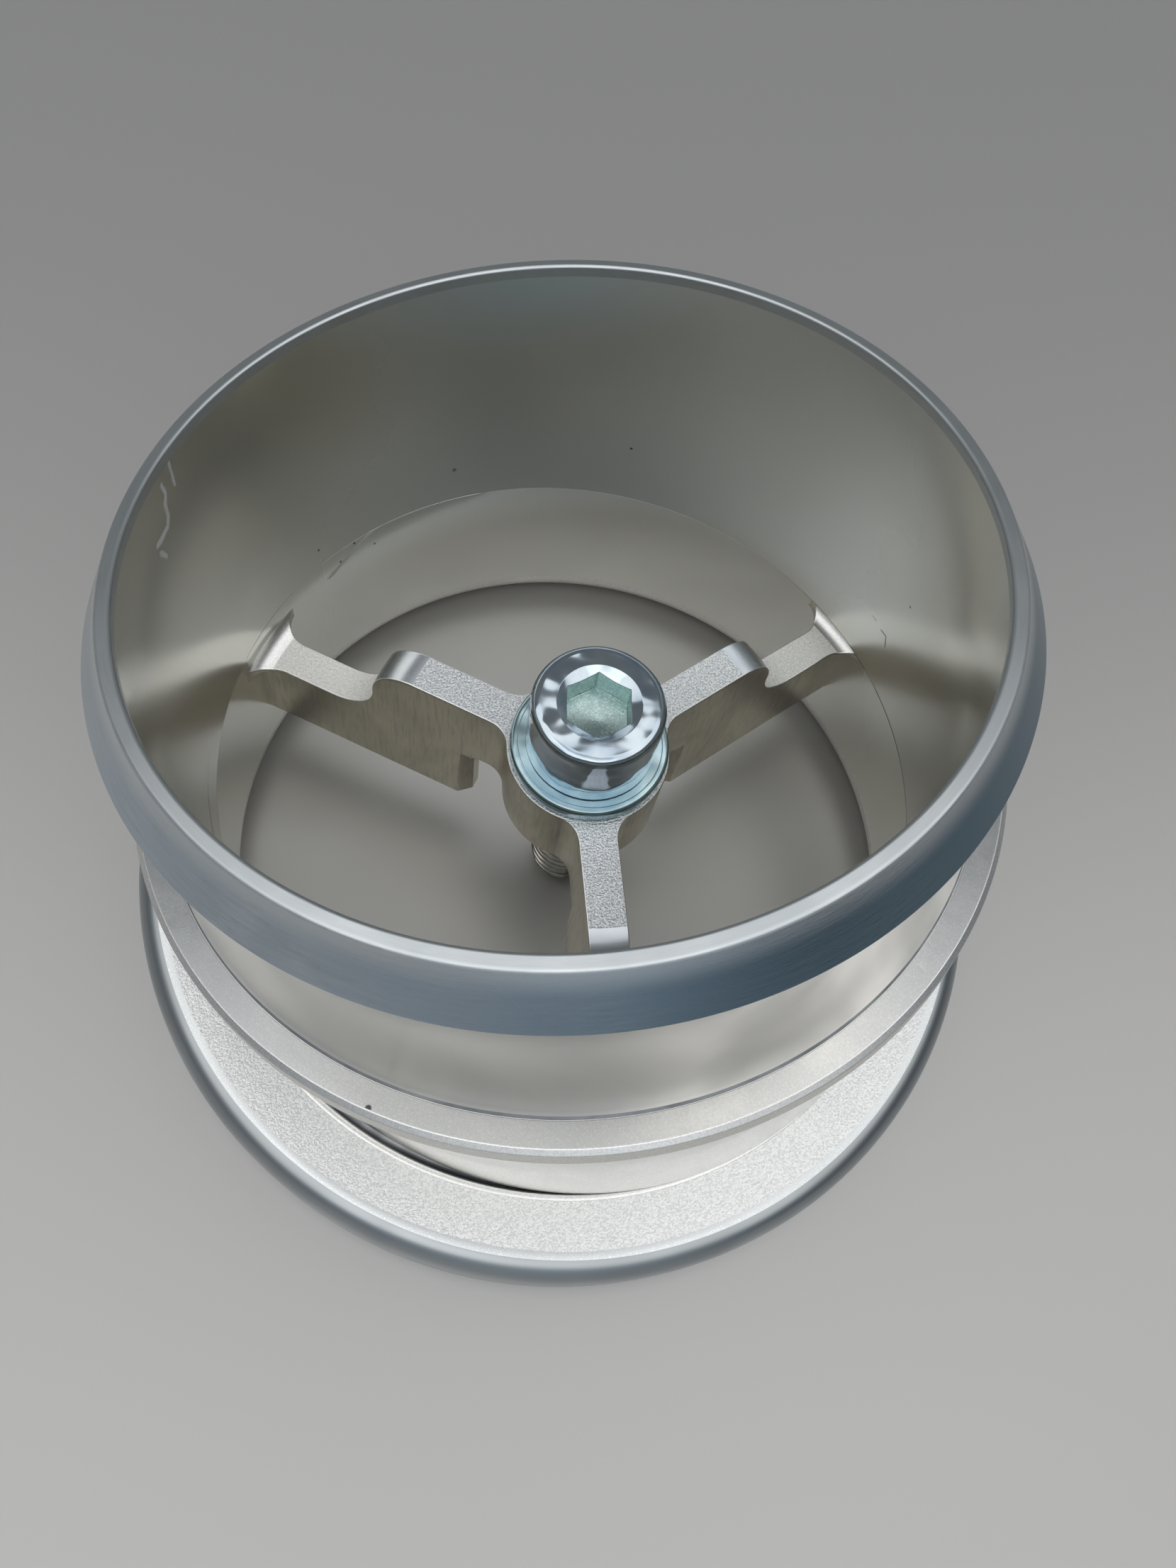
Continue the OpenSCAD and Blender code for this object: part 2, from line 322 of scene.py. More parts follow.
# %% A metal that gathers layers
class Metal:
    """A metallic material whose colour, roughness and bump are built up layer by layer."""

    def __init__(self, name, colour, roughness, leaning=False, metallic=1.0):
        self.material = bpy.data.materials.new(name)
        self.material.use_nodes = True
        self.tree = self.material.node_tree
        self.shader = self.tree.nodes["Principled BSDF"]
        self.shader.inputs["Metallic"].default_value = metallic
        self.shader.inputs["Base Color"].default_value = (*colour, 1.0)
        self.shader.inputs["Roughness"].default_value = roughness
        self.colour, self.roughness = colour, roughness
        self.here = own_position(self.tree, leaning)

    def shade(self, share, colour):
        """Mixes another colour over the metal by a share from 0 to 1."""
        self.colour = blend(self.tree, share, self.colour, colour)
        self.tree.links.new(self.colour, self.shader.inputs["Base Color"])

    def dull(self, share, amount):
        """Adds an amount to the roughness by a share from 0 to 1."""
        self.roughness = maths(self.tree, "ADD", maths(self.tree, "MULTIPLY", share, amount), self.roughness)
        self.tree.links.new(self.roughness, self.shader.inputs["Roughness"])

    def dent(self, height, strength, depth):
        """Adds a bump of a depth in metres on top of the bump that is there already."""
        made = self.tree.nodes.new("ShaderNodeBump")
        made.inputs["Strength"].default_value = strength
        made.inputs["Distance"].default_value = depth
        self.tree.links.new(height, made.inputs["Height"])
        before = self.shader.inputs["Normal"].links
        if before:
            self.tree.links.new(before[0].from_socket, made.inputs["Normal"])
        self.tree.links.new(made.outputs[0], self.shader.inputs["Normal"])

    def clouds(self, scale, dark, amount=0.05):
        """Soft handling marks: slow noise that darkens the metal a little and dulls it a little."""
        share = spread(self.tree, noise(self.tree, self.here, scale, 2.0, 0.45, 0.6), 0.25, 0.75)
        self.shade(share, dark)
        self.dull(share, amount)

    def grain(self, scale, dark, pale, strength, depth):
        """Dents of blasting: fast noise in colour and bump, with a finer one over it."""
        coarse = noise(self.tree, self.here, scale, 2.0, 0.6)
        self.shade(spread(self.tree, coarse, 0.62, 0.36, 0.0, 0.8), dark)
        self.shade(spread(self.tree, noise(self.tree, self.here, scale * 1.7, 1.0), 0.52, 0.72, 0.0, 0.9), pale)
        self.dent(coarse, strength, depth)

    def rings(self, scale, strength, depth, dark=None, around=3.0):
        """Lathe rings: noise that changes fast across the cut and slowly along it."""
        value = noise(self.tree, ring_position(self.tree, self.here, scale, around), 1.0, 4.0, 0.65)
        self.dent(value, strength, depth)
        if dark:
            self.shade(spread(self.tree, value, 0.6, 0.35, 0.0, 0.7), dark)

    def scratches(self, scale, colour, share=0.5, width=0.006):
        """Thin wandering lines: where slow noise passes its middle, kept only in some places."""
        line = maths(self.tree, "ABSOLUTE", maths(self.tree, "SUBTRACT", noise(
            self.tree, stretched(self.tree, self.here, (1.0, 1.6, 0.55)), scale, 1.0, 0.3, 1.2), 0.5))
        thin = spread(self.tree, line, width, 0.0)
        some = spread(self.tree, noise(self.tree, self.here, scale * 0.8, 0.0), 0.60, 0.68)
        self.shade(maths(self.tree, "MULTIPLY", maths(self.tree, "MULTIPLY", thin, some), share), colour)

    def specks(self, scale, colour, size=0.10, share=0.8):
        """Small dark spots, one here and there: cells of which only a few are picked, and only their middles."""
        cells = self.tree.nodes.new("ShaderNodeTexVoronoi")
        cells.inputs["Scale"].default_value = scale
        self.tree.links.new(self.here, cells.inputs["Vector"])
        middle = spread(self.tree, cells.outputs["Distance"], size, size * 0.3)
        picked = spread(self.tree, node(self.tree, "SeparateXYZ", cells.outputs["Color"]), 0.93, 0.96)
        self.shade(maths(self.tree, "MULTIPLY", maths(self.tree, "MULTIPLY", middle, picked), share), colour)

    def stroke(self, points, width, colour, share):
        """One rubbed or scratched line, drawn by its points in millimetres.

        The distance to a piece of the line is the length that is left of the offset from its
        start once the nearest point on the piece is taken away. The least of them counts."""
        nearest = None
        for start, end in zip(points, points[1:]):
            a, ab = np.array(start) * MM, (np.array(end) - np.array(start)) * MM
            offset = vectors(self.tree, "SUBTRACT", self.here, tuple(a))
            along = vectors(self.tree, "DOT_PRODUCT", offset, tuple(ab / (ab @ ab)))
            along = maths(self.tree, "MINIMUM", maths(self.tree, "MAXIMUM", along, 0.0), 1.0)
            reached = node(self.tree, "CombineXYZ", *[maths(self.tree, "MULTIPLY", along, float(c)) for c in ab])
            away = vectors(self.tree, "LENGTH", vectors(self.tree, "SUBTRACT", offset, reached))
            nearest = away if nearest is None else maths(self.tree, "MINIMUM", nearest, away)
        ragged = maths(self.tree, "ADD", nearest, maths(
            self.tree, "MULTIPLY", noise(self.tree, self.here, 1500.0, 2.0), width * MM * 0.9))
        near = spread(self.tree, ragged, width * MM * 1.4, width * MM * 0.6)
        self.shade(maths(self.tree, "MULTIPLY", near, share), colour)
        self.dull(near, 0.4)

    def spots(self, points, radius, colour):
        """Small pits at points in millimetres: dark where the distance to one is less than the radius."""
        for point in points:
            away = vectors(self.tree, "DISTANCE", self.here, tuple(np.array(point) * MM))
            self.shade(spread(self.tree, away, radius * MM, radius * MM * 0.5), colour)


print("layers:", [name for name in vars(Metal) if not name.startswith("_")])

# %% [markdown]
# The top of the flange and of the arms is blasted with glass beads. Each bead
# leaves a dent with a rim, so the grain is a coarse noise for the dent and a
# finer one for the bright rims, in colour as well as in bump: bump alone
# would be smoothed away at this distance. An image of a blasted face could be
# laid over it, but noise in the part's own space needs no unwrapping and has
# no seam. The low tops of the arms show the path of a milling cutter.

# %% Blasted, milled and smooth aluminium for the flange and the arms, with painted shade on the flange's rim
flange_top = Metal("blasted_aluminium", (0.95, 0.955, 0.95), 0.36)
flange_top.clouds(55.0, (0.90, 0.905, 0.91), 0.05)
flange_top.grain(4200.0, (0.68, 0.69, 0.70), (1.0, 1.0, 0.99), 0.75, 0.00007)
flange_top.specks(160.0, (0.20, 0.20, 0.20), 0.05)
flange_top.spots([(-40.9, -22.3, 7.0)], 0.28, (0.12, 0.12, 0.12))

# painted shade: the rounded rim is coloured darker than the flange top, which dims the highlight it mirrors
rim_round = Metal("rounded_aluminium", (0.72, 0.735, 0.745), 0.26)
rim_round.clouds(70.0, (0.66, 0.68, 0.69), 0.05)
rim_round.grain(4800.0, (0.68, 0.70, 0.72), (0.92, 0.92, 0.92), 0.10, 0.00003)

# painted shade: the lower rim and the start of its round are painted much darker, standing in for the dark room they
# mirror
rim_painted_shade = Metal("rim_with_painted_shade", (0.44, 0.465, 0.48), 0.28)
rim_painted_shade.clouds(70.0, (0.37, 0.395, 0.41), 0.05)
rim_painted_shade.rings(6000.0, 0.2, 0.00001)

arm_top = Metal("pebbled_aluminium", (0.82, 0.835, 0.855), 0.27, metallic=0.8)
arm_top.clouds(90.0, (0.74, 0.76, 0.78), 0.05)
arm_top.grain(4600.0, (0.34, 0.365, 0.40), (1.0, 1.0, 1.0), 1.0, 0.00010)

nose = Metal("smooth_aluminium", (0.72, 0.75, 0.79), 0.24)
nose.clouds(180.0, (0.62, 0.66, 0.72), 0.08)
nose.rings(7000.0, 0.25, 0.00001)

milled = Metal("milled_aluminium", (0.99, 0.98, 0.95), 0.50, metallic=0.1)
milled.clouds(110.0, (0.93, 0.92, 0.90), 0.04)
milled.grain(4200.0, (0.64, 0.63, 0.60), (1.0, 0.99, 0.97), 0.8, 0.00009)
milled.rings(2600.0, 0.8, 0.00007, (0.86, 0.85, 0.83), around=14.0)

# %% [markdown]
# Collar, lip and bore come off the lathe, so their marks run round the
# leaning axis. The noise reads radius, height and heading in the spigot's own
# frame, fast across the cut and slow along it. The band of the bead was
# brushed: its hairs are longer and deeper. Its dark blue-grey colour is partly
# painted reflection of the dim room, its front right side is painted darker still
# as painted shade, and it is painted paler towards the lip as a painted highlight.
# On the bore there are also the
# marks of use: a smear that somebody's hand left, a scratch near the front,
# and a few pits. They sit at known places, so each is a short chain of
# points, and the distance to that chain is what colours the metal.

print("flange and arms:", flange_top.material.name, rim_round.material.name, rim_painted_shade.material.name,
      arm_top.material.name, nose.material.name, milled.material.name)

# %% Turned collar, brushed band and rounded lip
collar_face = Metal("turned_aluminium", (0.90, 0.905, 0.905), 0.22, leaning=True)
collar_face.clouds(70.0, (0.80, 0.81, 0.83), 0.06)
collar_face.rings(8000.0, 0.3, 0.00001)
collar_face.clouds(420.0, (0.80, 0.81, 0.83), 0.04)
collar_face.grain(3600.0, (0.78, 0.79, 0.81), (0.93, 0.935, 0.935), 0.05, 0.00002)
collar_face.specks(130.0, (0.16, 0.16, 0.17), 0.07)
collar_face.scratches(260.0, (0.97, 0.97, 0.97), 0.5)
collar_face.spots([(-15.9, 39.2, 18.0)], 0.36, (0.12, 0.12, 0.13))

# the brushed hairs are the band's own; its dark blue-grey colour is partly painted reflection of the dim room it
# mirrors
band = Metal("brushed_aluminium", (0.54, 0.605, 0.665), 0.20, leaning=True)
hairs = noise(band.tree, ring_position(band.tree, band.here, 1900.0, 9.0, -0.83), 1.0, 3.0, 0.7)
band.shade(spread(band.tree, hairs, 0.5, 0.75, 0.0, 0.8), (0.70, 0.75, 0.80))
band.shade(spread(band.tree, hairs, 0.5, 0.3, 0.0, 0.6), (0.34, 0.40, 0.47))
band.clouds(60.0, (0.46, 0.53, 0.60), 0.04)
band.dent(hairs, 0.5, 0.00003)
# painted shade: the band's front right side is painted darker
painted_dark_side = vectors(band.tree, "DOT_PRODUCT", band.here, (-0.985, -0.17, 0.0))
band.shade(spread(band.tree, painted_dark_side, 0.010, 0.036, 0.0, 0.95), (0.17, 0.25, 0.31))
# painted highlight: the band grows paler towards the lip
band_height = node(band.tree, "SeparateXYZ", band.here).node.outputs["Z"]
band.shade(spread(band.tree, band_height, (LIP_TOP - 2.4) * MM, (LIP_TOP - 0.3) * MM, 0.0, 0.85), (0.70, 0.73, 0.755))

lip_face = Metal("soft_lip", (0.68, 0.71, 0.73), 0.36, leaning=True)
lip_face.clouds(150.0, (0.62, 0.655, 0.68), 0.08)
lip_face.rings(9000.0, 0.35, 0.00001, (0.60, 0.64, 0.67), 16.0)

# %% The bored wall and its marks of use
bore_wall = Metal("bored_aluminium", (0.86, 0.86, 0.81), 0.19, leaning=True)
bore_wall.clouds(45.0, (0.78, 0.775, 0.725), 0.06)
# painted light: the far, upper wall of the bore is painted paler and bluer, standing in for the light it mirrors
painted_far_light = spread(bore_wall.tree, vectors(bore_wall.tree, "DOT_PRODUCT", bore_wall.here, (0.53, -0.85, 0.0)),
                  0.008, 0.032)
bore_height = node(bore_wall.tree, "SeparateXYZ", bore_wall.here).node.outputs["Z"]
bore_wall.shade(maths(bore_wall.tree, "MULTIPLY", painted_far_light, spread(bore_wall.tree, bore_height, 0.007, 0.014)),
                (0.95, 0.99, 0.99))
bore_wall.dull(painted_far_light, 0.09)
bore_wall.rings(6000.0, 0.12, 0.00001)
bore_wall.specks(90.0, (0.16, 0.15, 0.14), 0.035)
bore_wall.scratches(150.0, (0.95, 0.95, 0.92), 0.3, 0.003)
GREASE = (0.93, 0.94, 0.95)
bore_wall.stroke([(32.2, 16.5, 42.2), (32.1, 16.7, 41.0), (32.0, 16.9, 39.7)], 0.30, GREASE, 0.6)
bore_wall.stroke([(31.2, 18.3, 41.1), (31.3, 18.3, 40.0), (30.9, 18.8, 39.3), (30.8, 19.0, 38.1), (30.5, 19.6, 37.5),
                  (29.8, 20.5, 37.4), (29.1, 21.5, 37.5)], 0.42, GREASE, 0.95)
bore_wall.stroke([(29.1, 21.5, 36.6), (29.4, 21.1, 35.7)], 0.40, GREASE, 0.6)
bore_wall.stroke([(-9.8, -34.8, 14.8), (-13.2, -33.7, 14.8)], 0.07, (0.30, 0.29, 0.27), 0.8)
bore_wall.stroke([(-14.3, -33.3, 14.5), (-15.2, -32.8, 14.6), (-15.5, -32.7, 13.2)], 0.16, (0.35, 0.34, 0.31), 0.8)
bore_wall.stroke([(36.2, 2.6, 12.6), (36.2, -1.0, 14.2), (36.0, -4.2, 15.4)], 0.5, (0.60, 0.59, 0.55), 0.4)
bore_wall.spots([(36.1, 3.2, 17.6), (36.2, -1.4, 15.1), (36.2, 0.9, 13.8), (36.0, -3.9, 13.2), (20.1, -30.1, 20.4),
                 (-17.2, -31.9, 21.9)], 0.20, (0.14, 0.13, 0.12))

print("marks on the bore:", len(bore_wall.tree.nodes), "nodes")

# %% Satin hollow with painted shade and light, neck, streaked arm sides, seams with painted shade, and edges
# painted shade and light: the hollow is coloured dark in its middle, front and back, and pale and warm on its left and
# right flanks
waist = Metal("satin_waist", (0.40, 0.395, 0.37), 0.32, leaning=True)
flanks = vectors(waist.tree, "DOT_PRODUCT", waist.here, (0.85, 0.53, 0.0))
waist.shade(spread(waist.tree, maths(waist.tree, "ABSOLUTE", flanks), 0.008, 0.026), (0.96, 0.925, 0.87))
waist.clouds(60.0, (0.50, 0.49, 0.46), 0.05)
waist.rings(6000.0, 0.15, 0.00001)

satin = Metal("satin_aluminium", (0.88, 0.87, 0.84), 0.34)
satin.clouds(80.0, (0.79, 0.78, 0.75), 0.06)
satin.grain(3000.0, (0.76, 0.75, 0.72), (0.93, 0.92, 0.89), 0.12, 0.00003)

arm_side = Metal("sawn_aluminium", (0.76, 0.70, 0.56), 0.28)
arm_side.clouds(120.0, (0.60, 0.56, 0.46), 0.06)
streaks = noise(arm_side.tree, stretched(arm_side.tree, arm_side.here, (2600.0, 2600.0, 260.0)), 1.0, 3.0, 0.6)
arm_side.shade(spread(arm_side.tree, streaks, 0.55, 0.3, 0.0, 0.45), (0.40, 0.38, 0.34))
arm_side.dent(streaks, 0.25, 0.00003)

# painted shade: a dark finish for the relief groove, the collar's underside and the seat under the hollow, standing in
# for shade in these recesses
painted_crevice_shade = Metal("aluminium_with_painted_crevice_shade", (0.34, 0.35, 0.36), 0.42)
painted_crevice_shade.clouds(300.0, (0.22, 0.23, 0.24), 0.08)

edge = Metal("bright_edge", (0.93, 0.92, 0.91), 0.34)
edge.grain(5200.0, (0.76, 0.76, 0.76), (0.98, 0.98, 0.97), 0.2, 0.00003)

# %% The finishes in order
BLASTED, ARM_TOP, NOSE, MILLED, TURNED, BRUSHED, LIP, BORE, WAIST, SATIN, SIDE, DARK, BRIGHT, ROUND, RIM = range(15)
METALS = [flange_top, arm_top, nose, milled, collar_face, band, lip_face, bore_wall, waist, satin, arm_side,
          painted_crevice_shade, edge, rim_round, rim_painted_shade]
FINISHES = [metal.material for metal in METALS]
print("finishes:", [m.name for m in FINISHES])

# %% [markdown]
# ## The turned body
#
# The whole shell is one closed loop of rows. It starts under the flange, goes
# up the outside to the lip, and comes back down the bores. Rows on the foot
# are round about the upright axis, and rows on the spigot about the leaning
# one. The rows of the neck bend from one to the other: their lower end is
# level and their upper end lies in the tilted plane of the collar. A revolved
# modifier could not do this, because it knows only one axis.

# %% Foot, neck and collar rows
COLUMNS = 288
angles = np.linspace(0, 2 * math.pi, COLUMNS, endpoint=False)
rows, row_finish = [], []


def add_rows(points, finish):
    """Adds rows of points, each with its finish."""
    rows.append(points)
    row_finish.extend([finish] * len(points))


rim = rounded_path(
    [(42.0, 0.0), (FLANGE_R - 0.3, 0.0), (FLANGE_R, 0.3), (FLANGE_R, FLANGE_T - FLANGE_ROUND)],
    [0, 0.1, 0.1, 0])
t = np.linspace(0, math.pi / 2, 14)[1:]
rim_arc = np.stack([FLANGE_R - FLANGE_ROUND + FLANGE_ROUND * np.cos(t),
                    FLANGE_T - FLANGE_ROUND + FLANGE_ROUND * np.sin(t)], -1)
flat_in = np.stack([np.linspace(FLANGE_R - FLANGE_ROUND - 0.1, 41.25, 6), np.full(6, FLANGE_T)], -1)
foot_edge = np.array([(41.2, 7.0), (41.15, 6.97), (41.1, 7.0), (40.75, 7.0), (40.6, 6.98), (40.5, 6.93), (40.43, 6.84)])
t = np.linspace(0.0, math.pi, 9)
relief = np.stack([39.9 + 0.5 * np.cos(t), FLANGE_T - 0.18 - 0.5 * np.sin(t)], -1)
# the lower rim and the first rows of its round carry the painted shade of RIM, and the rest of the round the darkened
# ROUND
add_rows(foot_points(rim[:, :1], rim[:, 1:], angles), RIM)
add_rows(foot_points(rim_arc[:10, :1], rim_arc[:10, 1:], angles), RIM)
add_rows(foot_points(rim_arc[10:, :1], rim_arc[10:, 1:], angles), ROUND)
add_rows(foot_points(flat_in[:, :1], flat_in[:, 1:], angles), BLASTED)
add_rows(foot_points(foot_edge[:, :1], foot_edge[:, 1:], angles), BRIGHT)
# painted shade in the relief groove at the foot of the neck
add_rows(foot_points(relief[:, :1], relief[:, 1:], angles), DARK)


def neck_radius(height, angle):
    """The larger of the upright neck, rounded in like a ball above its shoulder, and the leaning tube."""
    over = np.clip(height - NECK_SHOULDER, 0, None)
    ball = np.sqrt(np.clip(NECK_R**2 - over**2, 0, None)) + 0 * angle
    return np.maximum(ball, leaning_radius(TUBE_R, height, angle))


def tilted_height(radius, angle, above_knee):
    """Height of the plane across the leaning axis at a radius and heading."""
    x, y = radius * np.cos(angle), radius * np.sin(angle)
    return KNEE[2] + (above_knee - x * AXIS[0] - y * AXIS[1]) / AXIS[2]


collar_floor = COLLAR_TOP - COLLAR_T
neck_top = np.full(COLUMNS, 30.0)
for _ in range(8):
    neck_top = tilted_height(neck_radius(neck_top, angles), angles, collar_floor)
share = np.concatenate([[0.004, 0.02], np.linspace(0.05, 0.97, 26), [0.995]])[:, None]
neck_heights = FLANGE_T + share * (neck_top - FLANGE_T)
add_rows(foot_points(neck_radius(neck_heights, angles), neck_heights, angles), SATIN)
print("neck top, lowest and highest:", neck_top.min().round(2), neck_top.max().round(2))

# %% Collar, hollow, bead and lip rows
under = np.linspace(39.9, COLLAR_R - 0.3, 4)[:, None]
# painted shade on the collar's underside
add_rows(spigot_points(under, collar_floor, angles), DARK)
collar = rounded_path(
    [(COLLAR_R - 0.2, collar_floor), (COLLAR_R, collar_floor), (COLLAR_R, COLLAR_TOP - 0.45),
     (COLLAR_R - 0.5, COLLAR_TOP), (ROOT_R + 0.1, COLLAR_TOP)],
    [0, 0.1, 0.12, 0.12, 0])
edge_rows = int((collar[:, 1] < COLLAR_TOP - 0.4).sum())
bevel_end = int((collar[:, 0] > COLLAR_R - 0.55).sum())
add_rows(spigot_points(collar[:edge_rows, :1], collar[:edge_rows, 1:], angles), SATIN)
add_rows(spigot_points(collar[edge_rows:bevel_end, :1], collar[edge_rows:bevel_end, 1:], angles), BRIGHT)
add_rows(spigot_points(collar[bevel_end:, :1], collar[bevel_end:, 1:], angles), TURNED)

half, dip = (BEAD_H - COLLAR_TOP) / 2, (ROOT_R + BEAD_R) / 2 - WAIST_R
hollow_r = (half**2 + dip**2) / (2 * dip)
lift = math.asin(half / hollow_r)
t = np.linspace(-lift, lift, 42)
hollow = np.stack([WAIST_R + hollow_r - hollow_r * np.cos(t), COLLAR_TOP + half + hollow_r * np.sin(t)], -1)
hollow = hollow[(hollow[:, 1] > COLLAR_TOP + 0.12) & (hollow[:, 1] < BEAD_H - 0.1)]
seat = np.array([(ROOT_R + 0.03, COLLAR_TOP - 0.03), (ROOT_R, COLLAR_TOP + 0.02)])
# painted shade in the seat between the collar and the hollow
add_rows(spigot_points(seat[:, :1], seat[:, 1:], angles), DARK)
add_rows(spigot_points(hollow[:, :1], hollow[:, 1:], angles), WAIST)
lip_path = rounded_path(
    [(BEAD_R - 0.16, BEAD_H - 0.08), (BEAD_R - 0.02, BEAD_H + 0.02), (SPIGOT_BORE_R + 1.3, LIP_TOP - 0.22),
     (SPIGOT_BORE_R, LIP_TOP), (SPIGOT_BORE_R, LIP_TOP - 0.7)],
    [0, 0.12, 0.5, 0.3, 0], arc_steps=8, longest=0.5)
on_lip = int(np.argmax(np.hypot(*(lip_path - (SPIGOT_BORE_R + 1.3, LIP_TOP - 0.22)).T) < 0.32))
add_rows(spigot_points(lip_path[:on_lip, :1], lip_path[:on_lip, 1:], angles), BRUSHED)
add_rows(spigot_points(lip_path[on_lip:, :1], lip_path[on_lip:, 1:], angles), LIP)
print("the hollow is an arc of radius", round(hollow_r, 2), "mm")

# %% Bore rows and the mouth underneath
BORE_TURN = 16.2
bore = np.linspace(LIP_TOP - 1.2, BORE_TURN, 22)[:, None]
add_rows(spigot_points(SPIGOT_BORE_R, bore, angles), BORE)
bore_end = np.full(COLUMNS, 30.0)
for _ in range(8):
    bore_end = tilted_height(leaning_radius(SPIGOT_BORE_R, bore_end, angles), angles, BORE_TURN)
share = np.concatenate([np.linspace(0.12, 0.97, 10), [1.0]])[:, None]
low_heights = bore_end + share * (FOOT_BORE_TOP - bore_end)
add_rows(foot_points(leaning_radius(SPIGOT_BORE_R, low_heights, angles), low_heights, angles), BORE)


def foot_bore_radius(height, angle):
    """The foot's own bore, or the leaning bore where that one is wider."""
    return np.maximum(FOOT_BORE_R, leaning_radius(SPIGOT_BORE_R, height, angle))


foot_heights = np.concatenate([[FOOT_BORE_TOP, FOOT_BORE_TOP - 0.06], np.linspace(22.9, 5.2, 22)])[:, None]
add_rows(foot_points(foot_bore_radius(foot_heights, angles), foot_heights, angles), BORE)
t = np.linspace(0.0, math.acos(0.1 / 5.0) - 0.09, 10)
mouth = np.stack([43.0 - 5.0 * np.cos(t), 4.9 - 5.0 * np.sin(t)], -1)
mouth[:, 1] = np.clip(mouth[:, 1], 0.0, None)
add_rows(foot_points(mouth[:, :1], mouth[:, 1:], angles), SATIN)
shell_points = np.concatenate(rows)
print("shell rows:", len(shell_points), "columns:", COLUMNS)

# %% The shell as one closed mesh
shell = show("shell", grid_mesh("shell", shell_points, np.array(row_finish), FINISHES), "body", "body")

# %% [markdown]
# ## The arms
#
# Seen from the side an arm is high by the hub, drops by one step and runs low
# to the wall. The step is an S: a round nose above and a round fillet below.
# Seen from above the arm is a straight bar that widens in fillets at both
# ends. Below the hub the arm ends in a narrow edge with a bevel on each side,
# which leaves a recess round the screw. So an arm is a row of sections: at
# each distance from the axis the top, the underside and two half widths are
# known, one for the bar and one for the leg under the hub. Points keep their
# distance from the axis, so the ends fit the round hub and the round bore.

# %% Sides of an arm as paths
ARM_HALF, EDGE, ROOF, LEG_START = 1.95, 0.12, 20.3, 12.2
top_path = rounded_path(
    [(6.5, 29.9), (8.4, HUB_TOP), (23.8, HUB_TOP), (23.82, 20.0), (38.04, 20.0), (38.08, 22.2), (38.6, 22.3)],
    [0, 0, 4.8, 5.2, 2.0, 0, 0], arc_steps=16)
ARM_FLOOR = 9.5


def fillet_arc(centre_x, centre_y, radius, start, end):
    """Points of a fillet seen from above, as distance from the axis and half width."""
    t = np.linspace(start, end, 12)
    x, y = centre_x + radius * np.cos(t), centre_y + radius * np.sin(t)
    return np.stack([np.hypot(x, y), y], -1)


HUB_R, FILLET, BITE = 8.3, 3.0, 0.04
out = ARM_HALF + FILLET
hub_x = math.sqrt((HUB_R + FILLET - BITE) ** 2 - out**2)
wall_x = math.sqrt((FOOT_BORE_R + BITE - FILLET) ** 2 - out**2)
width_path = np.vstack([
    [(6.5, 3.2)], fillet_arc(hub_x, out, FILLET, math.pi + math.atan2(out, hub_x), 1.5 * math.pi),
    fillet_arc(wall_x, out, FILLET, -0.5 * math.pi, math.atan2(out, wall_x)), [(38.6, 5.6)]])
stations = np.unique(np.concatenate([
    top_path[:, 0], width_path[:, 0], np.linspace(LEG_START - 1.0, LEG_START - 0.004, 8),
    LEG_START + np.array([0.0, 0.06, 0.12, 0.3, 0.6, 0.9, 1.2, 1.5, 1.56])]).round(3))
tops = np.interp(stations, top_path[:, 0], top_path[:, 1])
widths = np.interp(stations, width_path[:, 0], width_path[:, 1])
inward = np.clip(LEG_START - stations, 0, 1.0)
leg_floor = np.where(stations < LEG_START, ROOF - 1.0 + np.sqrt(1.0 - (1.0 - inward) ** 2), ARM_FLOOR)
leg_half = np.minimum(np.interp(stations, [LEG_START, LEG_START + 1.5], [0.7, ARM_HALF + 0.05]), widths)
print("stations along an arm:", len(stations))

# %% [markdown]
# A section goes round the bar: along the flat top, down one side to the roof
# of the recess, in along a ledge to the leg, down the leg, and back along the
# underside. Where the leg is as wide as the bar the ledge has no width and
# the side simply runs on down.

# %% Sections of an arm
quarter = np.linspace(0, math.pi / 2, 4)
half_flat = np.array([-0.97, -0.6, 0.0, 0.6, 0.97])
half_side = np.array([0.98, 0.66, 0.33, 0.02])
ledge = np.linspace(0.04, 1.0, 6)


